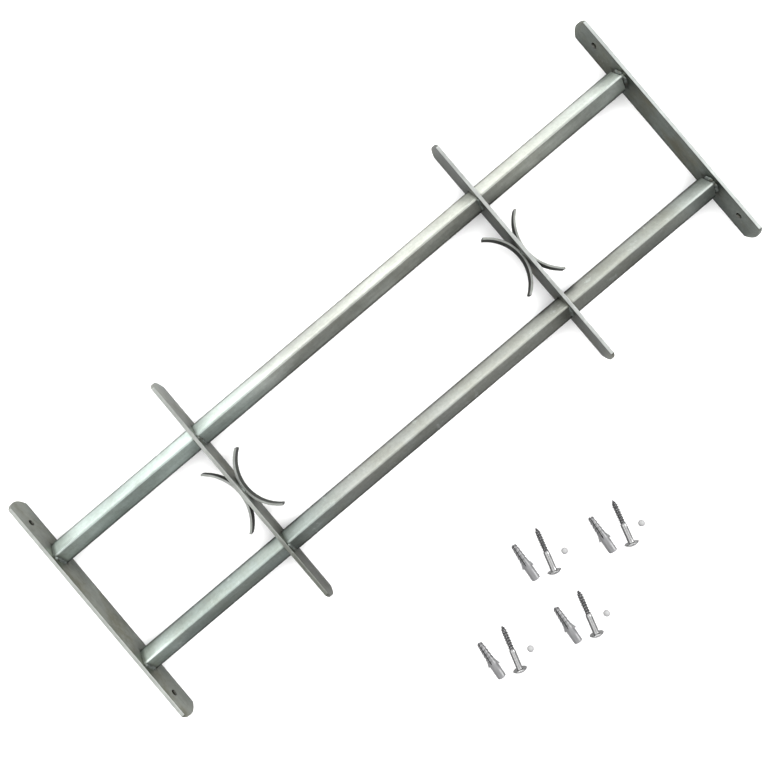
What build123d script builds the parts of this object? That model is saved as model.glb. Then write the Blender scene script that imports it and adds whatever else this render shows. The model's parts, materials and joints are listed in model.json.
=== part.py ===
from build123d import *
from math import asin, atan2, cos, radians, sin
import os

# Telescopic window security bar, lying flat with its fixing kit laid out beside it.
# X runs along the bars, Y up the window and Z out of the window, towards the room.
# The origin is the centre of the face of the left end plate that bears on the wall.

# Steel flats: two end plates and two crosspieces are cut from the same stock.
FLAT_LENGTH = 300.0
FLAT_DEPTH = 35.0
FLAT_THICKNESS = 4.0
END_RISE = 6.5              # how far a bowed end stands out from its shoulders
SHOULDER_RADIUS = 3.0
EDGE_RADIUS = 0.5
HOLE_SPACING = 240.0
HOLE_DIAMETER = 7.5
HOLE_FORWARD = 3.0          # from the middle of the flat's depth, towards the room

# Square tubes, turned on edge so that a corner faces the room.
BAR_SPACING = 150.0
OUTER_SIDE = 20.0
INNER_SIDE = 16.0
TUBE_WALL = 1.5
TUBE_CORNER = 2.0
TUBE_BORE_CORNER = 0.5
OUTER_LENGTH = 792.0
INNER_LENGTH = 500.0
CLOSED_GAP = 4.0            # outer tube's end to the right plate, pushed in
SLOT_CLEARANCE = 0.3        # between an outer tube and its opening in a crosspiece
SLOT_CORNER = 0.5           # the openings are punched, with sharper corners than the tubes
CROSSPIECE_SHARES = {"left": 0.25, "right": 0.75}  # along the outer tubes

# Bowed strips, two back to back on each crosspiece.
OUTBOARD_BOW = (85.0, 20.5)  # chord and rise
INBOARD_BOW = (81.0, 21.5)
BOW_HEIGHT = -1.0           # of the bows' middles, from halfway between the bars
BOW_THICKNESS = 2.5
BOW_DEPTH = 16.0
BOW_GAP = 0.05              # between a bow's back and the crosspiece
BOW_EDGE_RADIUS = 0.25

# Weld beads.
TUBE_BEAD_LEG = 2.5
TUBE_BEAD_LENGTH = 17.0
SLIDE_BEAD_LEG = 3.0        # these beads stop the outer tubes when the bar is closed
SLIDE_BEAD_LENGTH = 12.0
BOW_BEAD_LEG = 1.5
BOW_BEAD_LENGTH = 7.0
BEAD_CROWN = 0.57           # crown of a bead, as a share of its leg; 0.5 is flat
WELDED_SIDES = ((-1, 1), (1, -1))  # an outer tube's lower front and upper rear sides, as (y, z)

# Fixing kit: four sets of one wall screw, one wall plug and one locking ball.
KIT_PLACES = ((386.5, -238.3), (470.5, -269.3), (288.5, -296.3), (377.5, -320.3))  # plug tips
SCREW_TIP_AT = (31.3, -1.3)   # from the plug's tip, like the ball's
SCREW_TURN = 252.5          # heading from tip to head, from +X
BALL_AT = (39.1, -41.3)
PLUG_TURN = 264.0           # heading from the plug's tip to its mouth
PLUG_ROLL = 20.0

SHANK_RADIUS = 3.5
ROOT_RADIUS = 2.5
SCREW_LENGTH = 50.0         # under the head
PLAIN_LENGTH = 20.0
POINT_LENGTH = 6.0
THREAD_PITCH = 3.0
THREAD_STOP = 1.0           # the thread ends this far short of the tip
HEAD_RADIUS = 8.25
HEAD_RIM = 1.2
HEAD_CHAMFER = 0.4
HEAD_HEIGHT = 4.5
SOCKET_FLATS = 7.0
SOCKET_DEPTH = 3.5
BALL_RADIUS = 3.75

PLUG_LENGTH = 44.5
PLUG_RADIUS = 5.0
PLUG_TIP_RADIUS = 3.6
PLUG_SLEEVE_FROM = 27.0
PLUG_TOOTH_PITCH = 4.5
PLUG_TOOTH_STEP = 0.9
PLUG_TEETH = 5
PLUG_TEETH_FROM = 3.0
PLUG_BORE_RADIUS = 2.9
PLUG_BORE_END_RADIUS = 1.3
PLUG_SLIT_WIDTH = 1.3
PLUG_SLIT_END = 26.0
WING_FROM = 20.0
WING_LENGTH = 9.0
WING_HEIGHT = 2.4
WING_WIDTH = 1.6
WING_ROOT = 0.5             # how far a wing's foot is sunk in the plug's wall

# Places worked out from the driving dimensions.
FLOOR = -FLAT_DEPTH / 2
BARS = (BAR_SPACING / 2, -BAR_SPACING / 2)
TUBE_START = FLAT_THICKNESS
TUBE_END = TUBE_START + OUTER_LENGTH
RIGHT_PLATE_FACE = TUBE_END + CLOSED_GAP
CROSSPIECES = {
    place: TUBE_START + OUTER_LENGTH * share for place, share in CROSSPIECE_SHARES.items()
}


def make_flat(start):
    """A flat with bowed ends and eased edges, from x = start to start + FLAT_THICKNESS."""
    half = FLAT_LENGTH / 2
    shoulder = half - END_RISE
    edge = FLAT_DEPTH / 2
    with BuildPart() as flat:
        with BuildSketch(Plane.YZ.offset(start)) as side:
            with BuildLine():
                Line((-shoulder, edge), (shoulder, edge))
                ThreePointArc((shoulder, edge), (half, 0), (shoulder, -edge))
                Line((shoulder, -edge), (-shoulder, -edge))
                ThreePointArc((-shoulder, -edge), (-half, 0), (-shoulder, edge))
            make_face()
            fillet(side.vertices(), SHOULDER_RADIUS)
        extrude(amount=FLAT_THICKNESS)
        fillet(flat.faces().filter_by(Axis.X).edges(), EDGE_RADIUS)
    return flat.part


def make_end_plate(start):
    """An end plate: a flat with one screw hole near each end."""
    with BuildPart() as plate:
        add(make_flat(start))
        with BuildSketch(Plane.YZ.offset(start)):
            with Locations((-HOLE_SPACING / 2, HOLE_FORWARD), (HOLE_SPACING / 2, HOLE_FORWARD)):
                Circle(HOLE_DIAMETER / 2)
        extrude(amount=FLAT_THICKNESS, mode=Mode.SUBTRACT)
    return plate.part


def make_crosspiece(middle):
    """A flat that the two outer tubes pass through."""
    start = middle - FLAT_THICKNESS / 2
    opening = OUTER_SIDE + 2 * SLOT_CLEARANCE
    with BuildPart() as crosspiece:
        add(make_flat(start))
        with BuildSketch(Plane.YZ.offset(start)):
            with GridLocations(BAR_SPACING, 0, 2, 1):
                RectangleRounded(opening, opening, SLOT_CORNER, rotation=45)
        extrude(amount=FLAT_THICKNESS, mode=Mode.SUBTRACT)
    return crosspiece.part


def make_tube(start, length, side, height):
    """A square tube on edge, at y = height, running from x = start."""
    bore = side - 2 * TUBE_WALL
    with BuildPart() as tube:
        with BuildSketch(Plane.YZ.offset(start)):
            with Locations((height, 0)):
                RectangleRounded(side, side, TUBE_CORNER, rotation=45)
                RectangleRounded(bore, bore, TUBE_BORE_CORNER, rotation=45, mode=Mode.SUBTRACT)
        extrude(amount=length)
    return tube.part


def make_bow(face, side, chord, rise):
    """A bowed strip whose back rests on the flat's face at x = face; side is +1 or -1 along X."""
    half = chord / 2
    radius = (half**2 + rise**2) / (2 * rise)
    back = face + side * BOW_GAP
    tip = back + side * rise
    inside = (radius - BOW_THICKNESS) / radius
    centre = back + side * radius
    inner_tip = centre + (tip - centre) * inside
    inner_half = half * inside
    with BuildPart() as bow:
        with BuildSketch(Plane.XY.offset(-BOW_DEPTH / 2)):
            with BuildLine():
                ThreePointArc(
                    (tip, BOW_HEIGHT - half),
                    (back, BOW_HEIGHT),
                    (tip, BOW_HEIGHT + half),
                )
                Line((tip, BOW_HEIGHT + half), (inner_tip, BOW_HEIGHT + inner_half))
                ThreePointArc(
                    (inner_tip, BOW_HEIGHT + inner_half),
                    (back + side * BOW_THICKNESS, BOW_HEIGHT),
                    (inner_tip, BOW_HEIGHT - inner_half),
                )
                Line((inner_tip, BOW_HEIGHT - inner_half), (tip, BOW_HEIGHT - half))
            make_face()
        extrude(amount=BOW_DEPTH)
        long_edges = bow.faces().filter_by(Axis.Z).edges().filter_by(GeomType.CIRCLE)
        fillet(long_edges, BOW_EDGE_RADIUS)
    return bow.part


def make_beads(corners, leg, length):
    """Fillet welds: each corner is its middle point and the directions of its two sides."""
    crown = BEAD_CROWN * leg
    with BuildPart() as beads:
        for point, first, second in corners:
            run = Vector(first).cross(Vector(second))
            with BuildSketch(Plane(origin=point, x_dir=first, z_dir=run)):
                with BuildLine():
                    Polyline((0, leg), (0, 0), (leg, 0))
                    ThreePointArc((leg, 0), (crown, crown), (0, leg))
                make_face()
            extrude(amount=length / 2, both=True)
    return beads.part


def tube_corners(face, along, side, facings):
    """Corners between the flat's face at x = face and the sides of both tubes that face facings."""
    corners = []
    for height in BARS:
        for facing in facings:
            out = Vector(0, *facing).normalized()
            point = Vector(face, height, 0) + out * (side / 2)
            corners.append((point, (along, 0, 0), out))
    return corners


def bow_corners(middle):
    """Corners between a crosspiece's two faces and the front and rear edges of its bows."""
    corners = []
    for side in (-1, 1):
        for depth in (-1, 1):
            point = (middle + side * FLAT_THICKNESS / 2, BOW_HEIGHT, depth * BOW_DEPTH / 2)
            corners.append((point, (side, 0, 0), (0, 0, depth)))
    return corners


def thread_points():
    """The ridged outline of the screw's thread and point, as (distance under head, radius)."""
    points = []
    station = PLAIN_LENGTH + THREAD_PITCH / 2
    end = SCREW_LENGTH - THREAD_STOP
    while station < end:
        taper = min(1.0, (SCREW_LENGTH - station) / POINT_LENGTH)
        points.append((station, ROOT_RADIUS * taper))
        points.append((station + THREAD_PITCH / 2, SHANK_RADIUS * taper))
        station += THREAD_PITCH
    return [(s, r) for s, r in points if s < end]


def make_screw(tip_x, tip_y):
    """A wall screw lying on its head's rim and its thread, with a hexagon socket in its head."""
    crest = SCREW_LENGTH - POINT_LENGTH
    tilt = atan2(HEAD_RADIUS - SHANK_RADIUS, crest)
    heading = radians(SCREW_TURN)
    reach = (SCREW_LENGTH + HEAD_HEIGHT) * cos(tilt) - HEAD_HEIGHT
    head_x = tip_x + reach * cos(heading)
    head_y = tip_y + reach * sin(heading)
    head_z = FLOOR + HEAD_RADIUS * cos(tilt)
    to_tip = Vector(-cos(heading) * cos(tilt), -sin(heading) * cos(tilt), -sin(tilt))
    level = Vector(-sin(heading), cos(heading), 0)
    lengthwise = Plane(origin=(head_x, head_y, head_z), x_dir=to_tip, z_dir=level)
    dome_rise = HEAD_HEIGHT - HEAD_RIM
    dome = (HEAD_RADIUS**2 + dome_rise**2) / (2 * dome_rise)
    swing = asin(HEAD_RADIUS / dome) / 2
    with BuildPart() as screw:
        with BuildSketch(lengthwise):
            with BuildLine():
                Polyline(
                    (-HEAD_HEIGHT, 0),
                    (SCREW_LENGTH, 0),
                    *reversed(thread_points()),
                    (PLAIN_LENGTH, SHANK_RADIUS),
                    (0, SHANK_RADIUS),
                    (0, HEAD_RADIUS - HEAD_CHAMFER),
                    (-HEAD_CHAMFER, HEAD_RADIUS),
                    (-HEAD_RIM, HEAD_RADIUS),
                )
                ThreePointArc(
                    (-HEAD_RIM, HEAD_RADIUS),
                    (dome * (1 - cos(swing)) - HEAD_HEIGHT, dome * sin(swing)),
                    (-HEAD_HEIGHT, 0),
                )
            make_face()
        revolve(axis=Axis(lengthwise.origin, to_tip))
        head_top = lengthwise.origin - to_tip * HEAD_HEIGHT
        with BuildSketch(Plane(origin=head_top, x_dir=level, z_dir=to_tip)):
            RegularPolygon(SOCKET_FLATS / 2, 6, major_radius=False)
        extrude(amount=SOCKET_DEPTH, mode=Mode.SUBTRACT)
    return screw.part


def plug_radius(station):
    """Outer radius of the plug at a distance from its tip, before its teeth are cut."""
    rise = min(1.0, station / PLUG_SLEEVE_FROM)
    return PLUG_TIP_RADIUS + (PLUG_RADIUS - PLUG_TIP_RADIUS) * rise


def make_plug(tip_x, tip_y):
    """A split expansion plug on its side: toothed front half, plain sleeve and two wings."""
    heading = radians(PLUG_TURN)
    roll = radians(PLUG_ROLL)
    along = Vector(cos(heading), sin(heading), 0)
    up = Vector(sin(heading) * sin(roll), -cos(heading) * sin(roll), cos(roll))
    tip = Vector(tip_x, tip_y, FLOOR + PLUG_RADIUS)
    flatwise = Plane(origin=tip, x_dir=along, z_dir=up)
    outline = [(0, 0), (0, PLUG_TIP_RADIUS - PLUG_TOOTH_STEP)]
    for tooth in range(PLUG_TEETH):
        start = PLUG_TEETH_FROM + tooth * PLUG_TOOTH_PITCH
        outline.append((start, plug_radius(start)))
        outline.append((start, plug_radius(start) - PLUG_TOOTH_STEP))
    outline += [(PLUG_SLEEVE_FROM, PLUG_RADIUS), (PLUG_LENGTH, PLUG_RADIUS), (PLUG_LENGTH, 0)]
    with BuildPart() as plug:
        with BuildSketch(flatwise):
            with BuildLine():
                Polyline(*outline, close=True)
            make_face()
        revolve(axis=Axis(tip, along))
        with BuildSketch(flatwise):
            with BuildLine():
                for across in (1, -1):
                    foot = across * (PLUG_RADIUS - WING_ROOT)
                    Polyline(
                        (WING_FROM, across * (plug_radius(WING_FROM) - WING_ROOT)),
                        (WING_FROM + WING_LENGTH, across * (PLUG_RADIUS + WING_HEIGHT)),
                        (WING_FROM + WING_LENGTH, foot),
                        close=True,
                    )
            make_face()
        extrude(amount=WING_WIDTH / 2, both=True)
        with BuildSketch(flatwise):
            with BuildLine():
                Polyline(
                    (0, 0),
                    (PLUG_LENGTH, 0),
                    (PLUG_LENGTH, PLUG_BORE_RADIUS),
                    (PLUG_SLIT_END, PLUG_BORE_END_RADIUS),
                    (0, PLUG_BORE_END_RADIUS),
                    close=True,
                )
            make_face()
        revolve(axis=Axis(tip, along), mode=Mode.SUBTRACT)
        with BuildSketch(flatwise):
            with Locations((PLUG_SLIT_END / 2, 0)):
                Rectangle(PLUG_SLIT_END, PLUG_SLIT_WIDTH)
        extrude(amount=PLUG_RADIUS, both=True, mode=Mode.SUBTRACT)
    return plug.part


def make_ball(x, y):
    """A locking ball, resting on the ground."""
    with BuildPart(Plane(origin=(x, y, FLOOR + BALL_RADIUS))) as ball:
        Sphere(BALL_RADIUS)
    return ball.part


nodes = {
    "left_end_plate": make_end_plate(0),
    "right_end_plate": make_end_plate(RIGHT_PLATE_FACE),
}

for bar, height in zip(("upper", "lower"), BARS):
    nodes[f"{bar}_outer_tube"] = make_tube(TUBE_START, OUTER_LENGTH, OUTER_SIDE, height)
    inner_start = RIGHT_PLATE_FACE - INNER_LENGTH
    nodes[f"{bar}_inner_tube"] = make_tube(inner_start, INNER_LENGTH, INNER_SIDE, height)

for place, middle in CROSSPIECES.items():
    outboard = -1 if place == "left" else 1
    outer_face = middle + outboard * FLAT_THICKNESS / 2
    inner_face = middle - outboard * FLAT_THICKNESS / 2
    nodes[f"{place}_crosspiece"] = make_crosspiece(middle)
    nodes[f"{place}_outboard_bow"] = make_bow(outer_face, outboard, *OUTBOARD_BOW)
    nodes[f"{place}_inboard_bow"] = make_bow(inner_face, -outboard, *INBOARD_BOW)
    two_sides = tube_corners(inner_face, -outboard, OUTER_SIDE, WELDED_SIDES)
    nodes[f"{place}_crosspiece_welds"] = make_beads(two_sides, TUBE_BEAD_LEG, TUBE_BEAD_LENGTH)
    nodes[f"{place}_bow_welds"] = make_beads(bow_corners(middle), BOW_BEAD_LEG, BOW_BEAD_LENGTH)

fixed_sides = tube_corners(TUBE_START, 1, OUTER_SIDE, WELDED_SIDES)
nodes["left_plate_welds"] = make_beads(fixed_sides, TUBE_BEAD_LEG, TUBE_BEAD_LENGTH)
all_sides = ((1, 1), (-1, 1), (-1, -1), (1, -1))
sliding_sides = tube_corners(RIGHT_PLATE_FACE, -1, INNER_SIDE, all_sides)
nodes["right_plate_welds"] = make_beads(sliding_sides, SLIDE_BEAD_LEG, SLIDE_BEAD_LENGTH)

for number, (x, y) in enumerate(KIT_PLACES, start=1):
    nodes[f"wall_plug_{number}"] = make_plug(x, y)
    nodes[f"wall_screw_{number}"] = make_screw(x + SCREW_TIP_AT[0], y + SCREW_TIP_AT[1])
    nodes[f"locking_ball_{number}"] = make_ball(x + BALL_AT[0], y + BALL_AT[1])

os.makedirs("parts", exist_ok=True)
for name, part in nodes.items():
    part.label = name
    export_step(part, f"parts/{name}.step")
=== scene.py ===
"""Looks of the telescopic window security bar and its fixing kit, in metres, in the part's own frame.

X runs along the bars, Y up the window and Z towards the room. The grille lies on a pale floor.
"""

import fnmatch
import json
import math

import bmesh
import bpy
import numpy as np
from mathutils import Euler, Matrix, Vector

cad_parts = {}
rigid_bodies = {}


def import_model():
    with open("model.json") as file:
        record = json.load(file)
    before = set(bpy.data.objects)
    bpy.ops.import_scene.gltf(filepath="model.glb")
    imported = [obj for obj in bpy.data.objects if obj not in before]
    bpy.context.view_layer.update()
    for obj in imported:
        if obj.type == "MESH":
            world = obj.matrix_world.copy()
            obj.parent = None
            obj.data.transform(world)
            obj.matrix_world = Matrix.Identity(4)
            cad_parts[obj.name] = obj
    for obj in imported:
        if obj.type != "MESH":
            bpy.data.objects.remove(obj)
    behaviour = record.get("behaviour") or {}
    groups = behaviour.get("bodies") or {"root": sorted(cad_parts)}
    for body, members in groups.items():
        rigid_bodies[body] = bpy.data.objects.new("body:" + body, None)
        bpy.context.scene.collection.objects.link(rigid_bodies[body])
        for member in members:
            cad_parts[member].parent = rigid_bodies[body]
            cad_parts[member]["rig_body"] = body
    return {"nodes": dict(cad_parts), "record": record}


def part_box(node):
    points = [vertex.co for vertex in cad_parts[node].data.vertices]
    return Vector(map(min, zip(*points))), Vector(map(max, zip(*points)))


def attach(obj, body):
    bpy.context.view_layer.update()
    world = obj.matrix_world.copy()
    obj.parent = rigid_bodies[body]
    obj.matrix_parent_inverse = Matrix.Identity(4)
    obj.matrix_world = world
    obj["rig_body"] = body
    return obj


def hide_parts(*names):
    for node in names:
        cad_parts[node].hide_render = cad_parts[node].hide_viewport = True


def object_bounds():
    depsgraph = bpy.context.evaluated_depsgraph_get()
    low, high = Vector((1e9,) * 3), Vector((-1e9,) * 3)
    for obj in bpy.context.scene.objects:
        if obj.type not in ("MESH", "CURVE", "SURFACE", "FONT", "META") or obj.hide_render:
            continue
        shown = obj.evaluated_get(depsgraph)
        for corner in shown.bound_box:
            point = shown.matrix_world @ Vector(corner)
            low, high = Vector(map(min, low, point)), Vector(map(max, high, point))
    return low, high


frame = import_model()
cad_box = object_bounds()

MM = 0.001

# Weld beads: legs, lengths and crown as in the part.
TUBE_BEAD = {"leg": 2.5 * MM, "length": 17.0 * MM}
SLIDE_BEAD = {"leg": 3.0 * MM, "length": 12.0 * MM}
BOW_BEAD = {"leg": 1.5 * MM, "length": 7.0 * MM}
BEAD_HOLLOW = 0.17          # how far a bead's face is drawn in between its legs, as a share of its leg
RIPPLE_PITCH = 1.15 * MM
RIPPLE_DEPTH = 0.045        # as a share of the bead's leg
RIPPLE_LAG = 0.55           # of a ripple's middle behind its ends, as a share of the pitch
RIPPLE_TOE = 0.25           # share of a ripple's depth that is left at the bead's toes
BEAD_STEP = 0.16 * MM
BEAD_STEPS_MIN = 12
BEAD_SIDES = 14
BEAD_END = (5, 0.45)        # powers that draw in a bead's ends
BEAD_TIP = 1e-4             # keeps the ends from closing to a point
BEAD_SWELL = 0.05
BEAD_WAVER = 7.0
BEAD_SEED = 17
BEAD_SMOOTH = 0.9

# The sides of a square tube on edge, as directions along Y and Z.
LOWER_FRONT = (-1, 1)
UPPER_REAR = (1, -1)
UPPER_FRONT = (1, 1)
LOWER_REAR = (-1, -1)

# Fixing kit: its pieces' places are kept from the middle of each locking ball.
PLUG_FROM_BALL = (-39.1 * MM, 41.3 * MM)
SCREW_FROM_BALL = (-7.8 * MM, 40.0 * MM)
SCREW_TURN = math.radians(252.5)
PLUG_TURN = math.radians(264.0)
PLUG_ROLL = math.radians(20.0)
KIT_SETS = 4

# Wall screw, measured from under its head.
SHANK_RADIUS = 3.5 * MM
ROOT_RADIUS = 2.45 * MM
SCREW_LENGTH = 50.0 * MM
PLAIN_LENGTH = 20.0 * MM
POINT_LENGTH = 6.0 * MM
THREAD_PITCH = 3.0 * MM
THREAD_FLANK = 0.24         # half the width of a thread's foot, as a share of its pitch
HEAD_RADIUS = 8.25 * MM
HEAD_RIM = 1.2 * MM
HEAD_HEIGHT = 4.5 * MM
HEAD_CHAMFER = 0.4 * MM
SOCKET_FLATS = 7.0 * MM
SOCKET_DEPTH = 3.5 * MM
SOCKET_CHAMFER = 0.3 * MM
SOCKET_CONE = 0.8 * MM
SCREW_SIDES = 60
THREAD_STEP = 0.2 * MM
DOME_SHARES = (0.62, 0.70, 0.78, 0.86, 0.94, 1.0)   # rings on the dome, as shares of the head's radius
NECK_ROUND = 0.8 * MM       # where the shank meets the head
NECK_STEPS = 4
PLAIN_SHARES = (0.3, 0.6)   # rings on the plain shank, as shares of its length
POINT_POWER = 0.8
POINT_RADIUS = 0.12 * MM
SOCKET_CENTRE = 0.05 * MM
SOCKET_FOOT = (0.6 * MM, 0.1 * MM)  # how far the edge of the socket's floor reaches in and up
SCREW_SMOOTH = 0.62

# Wall plug, measured from its tip.
PLUG_LENGTH = 44.5 * MM
PLUG_RADIUS = 5.0 * MM
PLUG_TIP_RADIUS = 3.6 * MM
SLEEVE_FROM = 27.0 * MM
TOOTH_PITCH = 4.5 * MM
TOOTH_STEP = 0.9 * MM
TOOTH_EASE = 0.25 * MM
TEETH = 5
TEETH_FROM = 3.0 * MM
BORE_RADIUS = 2.9 * MM
BORE_END_RADIUS = 1.3 * MM
SLIT_WIDTH = 1.3 * MM
SLIT_END = 26.0 * MM
SLIT_ROUND = 0.65 * MM
WING_FROM = 20.0 * MM
WING_LENGTH = 9.0 * MM
WING_HEIGHT = 2.4 * MM
WING_WIDTH = 1.6 * MM
WING_ROOT = 0.5 * MM
WING_EASE = 0.2 * MM        # how far a wing's edges are rounded off
WING_TAPER = (0.3 * MM, 0.5 * MM)   # of a wing's outer corner, inwards and towards the tip
WING_SHARES = (-1, -0.7, 0.7, 1)    # outlines across a wing, as shares of half its width
PLUG_CHAMFER = 0.35 * MM
TOOTH_SAG = 0.03 * MM
TOOTH_EDGE = 0.12 * MM
TOOTH_FOOT = 0.4 * MM
NECK_AT = WING_FROM + 1.0 * MM
NECK_DROP = 0.5 * MM
SHOULDER_AT = SLEEVE_FROM - 2.0 * MM
SHOULDER_DROP = 0.25 * MM
SLIT_DROP = 0.05 * MM
SLEEVE_LEAD = 2.0 * MM
RIM_AT = PLUG_LENGTH - 4.0 * MM
RIM_SLOPE = 0.2 * MM
RIM_STEP = 0.12 * MM
PLUG_SIDES = 20             # points along each half's outer arc
PLUG_SMOOTH = 0.6
SEAM = 0.001 * MM           # vertices this close are joined

# Camera, over the middle of the grille; its lens and sensor are in millimetres.
CAMERA_OFFSET = (-3.5 * MM, -17.7 * MM)
CAMERA_HEIGHT = 828.4 * MM  # above the bars' centre lines
CAMERA_LENS = 35.885
CAMERA_SENSOR = 36.0
CAMERA_NEAREST = 10.0 * MM
CAMERA_TILT = (0.0070, 0.0072)
CAMERA_ROLL = math.radians(-40.24)

# Light and floor.
SKY_AMBIENT = 0.14
SKY_OVERHEAD = 2.5
SKY_SIDE = 5.6              # a bright wall of light on the +Y side, strongest at the horizon
SKY_TOP_SHADE = 0.5         # the sky is dimmer straight above, behind the camera
SKY_RISE = (0.15, 0.80)     # directions' Z between which the ambient light turns into the overhead one
SKY_TOP = (0.93, 0.99)      # directions' Z where the shade above the camera starts and is full
SKY_SPREAD = 2.0
BACKDROP = (0.93, 0.94, 0.94, 1.0)
# The lamp's place from the middle of the plates, its side and its power, in metres and watts.
SIDE_LAMP = {"at": (2.6, -0.5, 1.5), "size": 1.2, "power": 65.0}
FLOOR_COLOR = (0.43, 0.43, 0.43)
FLOOR_SEEN = (0.97, 0.97, 0.97)     # as the camera sees it, overexposed around the object
FLOOR_SIZE = 14.0


# ---------------------------------------------------------------- shader nodes


def add_node(tree, kind, inputs=None, **settings):
    """A shader node with its settings, and its inputs as values or as sockets to link from."""
    made = tree.nodes.new(kind)
    for name, value in settings.items():
        setattr(made, name, value)
    for key, value in (inputs or {}).items():
        if isinstance(value, bpy.types.NodeSocket):
            tree.links.new(value, made.inputs[key])
        else:
            made.inputs[key].default_value = value
    return made


def math_of(tree, operation, first, second=0.0):
    """One step of arithmetic on numbers or sockets."""
    return add_node(tree, "ShaderNodeMath", {0: first, 1: second}, operation=operation).outputs[0]


def remap(tree, value, low, high, to_low, to_high):
    """value, from low..high to to_low..to_high, held at the ends."""
    inputs = {"Value": value, "From Min": low, "From Max": high, "To Min": to_low, "To Max": to_high}
    return add_node(tree, "ShaderNodeMapRange", inputs, clamp=True).outputs["Result"]


def mix_color(tree, share, first, second, blend="MIX"):
    """The first colour, with the second one mixed in by a share from 0 to 1."""
    node = add_node(tree, "ShaderNodeMix", data_type="RGBA", blend_type=blend, clamp_factor=True)
    for key, value in ((0, share), (6, first), (7, second)):
        if isinstance(value, bpy.types.NodeSocket):
            tree.links.new(value, node.inputs[key])
        elif key == 0:
            node.inputs[key].default_value = value
        else:
            node.inputs[key].default_value = (*value, 1.0)
    return node.outputs[2]


def ramp(tree, value, stops):
    """A colour ramp through (place, colour) stops."""
    node = add_node(tree, "ShaderNodeValToRGB", {"Fac": value})
    elements = node.color_ramp.elements
    while len(elements) < len(stops):
        elements.new(0.5)
    for element, (place, color) in zip(elements, stops):
        element.position = place
        element.color = (*color, 1.0)
    return node.outputs["Color"]


def noise_of(tree, coords, scale, detail=2.0, rough=0.5):
    """Noise from 0 to 1, its scale in features per metre along X, Y and Z."""
    stretched = add_node(tree, "ShaderNodeMapping", {"Vector": coords, "Scale": scale}).outputs[0]
    inputs = {"Vector": stretched, "Scale": 1.0, "Detail": detail, "Roughness": rough}
    return add_node(tree, "ShaderNodeTexNoise", inputs).outputs["Fac"]


def edge_share(tree, radius):
    """1 on edges sharper than the radius and 0 on flat faces."""
    soft = add_node(tree, "ShaderNodeBevel", {"Radius": radius}, samples=4).outputs["Normal"]
    hard = add_node(tree, "ShaderNodeNewGeometry").outputs["Normal"]
    inputs = {0: soft, 1: hard}
    aligned = add_node(tree, "ShaderNodeVectorMath", inputs, operation="DOT_PRODUCT").outputs["Value"]
    return remap(tree, aligned, *EDGE_RANGE, 1.0, 0.0)


def split(tree, coords):
    """The X, Y and Z of a vector."""
    return add_node(tree, "ShaderNodeSeparateXYZ", {0: coords}).outputs


def graded(tree, color, value, low, high, darkest, brightest):
    """The colour times a share that goes from darkest to brightest as the value goes from low to high."""
    share = remap(tree, value, low, high, darkest, brightest)
    grey = add_node(tree, "ShaderNodeCombineXYZ", {0: share, 1: share, 2: share}).outputs[0]
    return mix_color(tree, 1.0, color, grey, "MULTIPLY")


def distance_of(tree, first, second):
    """Length of the vector with these two parts."""
    squares = [math_of(tree, "MULTIPLY", part, part) for part in (first, second)]
    return math_of(tree, "SQRT", math_of(tree, "ADD", *squares))


def new_material(name):
    """A material with its tree, its shader and the object's own coordinates."""
    material = bpy.data.materials.new(name)
    material.use_nodes = True
    tree = material.node_tree
    shader = tree.nodes["Principled BSDF"]
    coords = add_node(tree, "ShaderNodeTexCoord").outputs["Object"]
    return material, tree, shader, coords


def set_bump(tree, shader, layers):
    """Bump layers of (height, depth in metres), the first at the bottom."""
    normal = None
    for height, depth in layers:
        inputs = {"Height": height, "Distance": depth, "Strength": 1.0}
        if normal is not None:
            inputs["Normal"] = normal
        normal = add_node(tree, "ShaderNodeBump", inputs).outputs["Normal"]
    tree.links.new(normal, shader.inputs["Normal"])


# ------------------------------------------------------------------- materials


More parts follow.
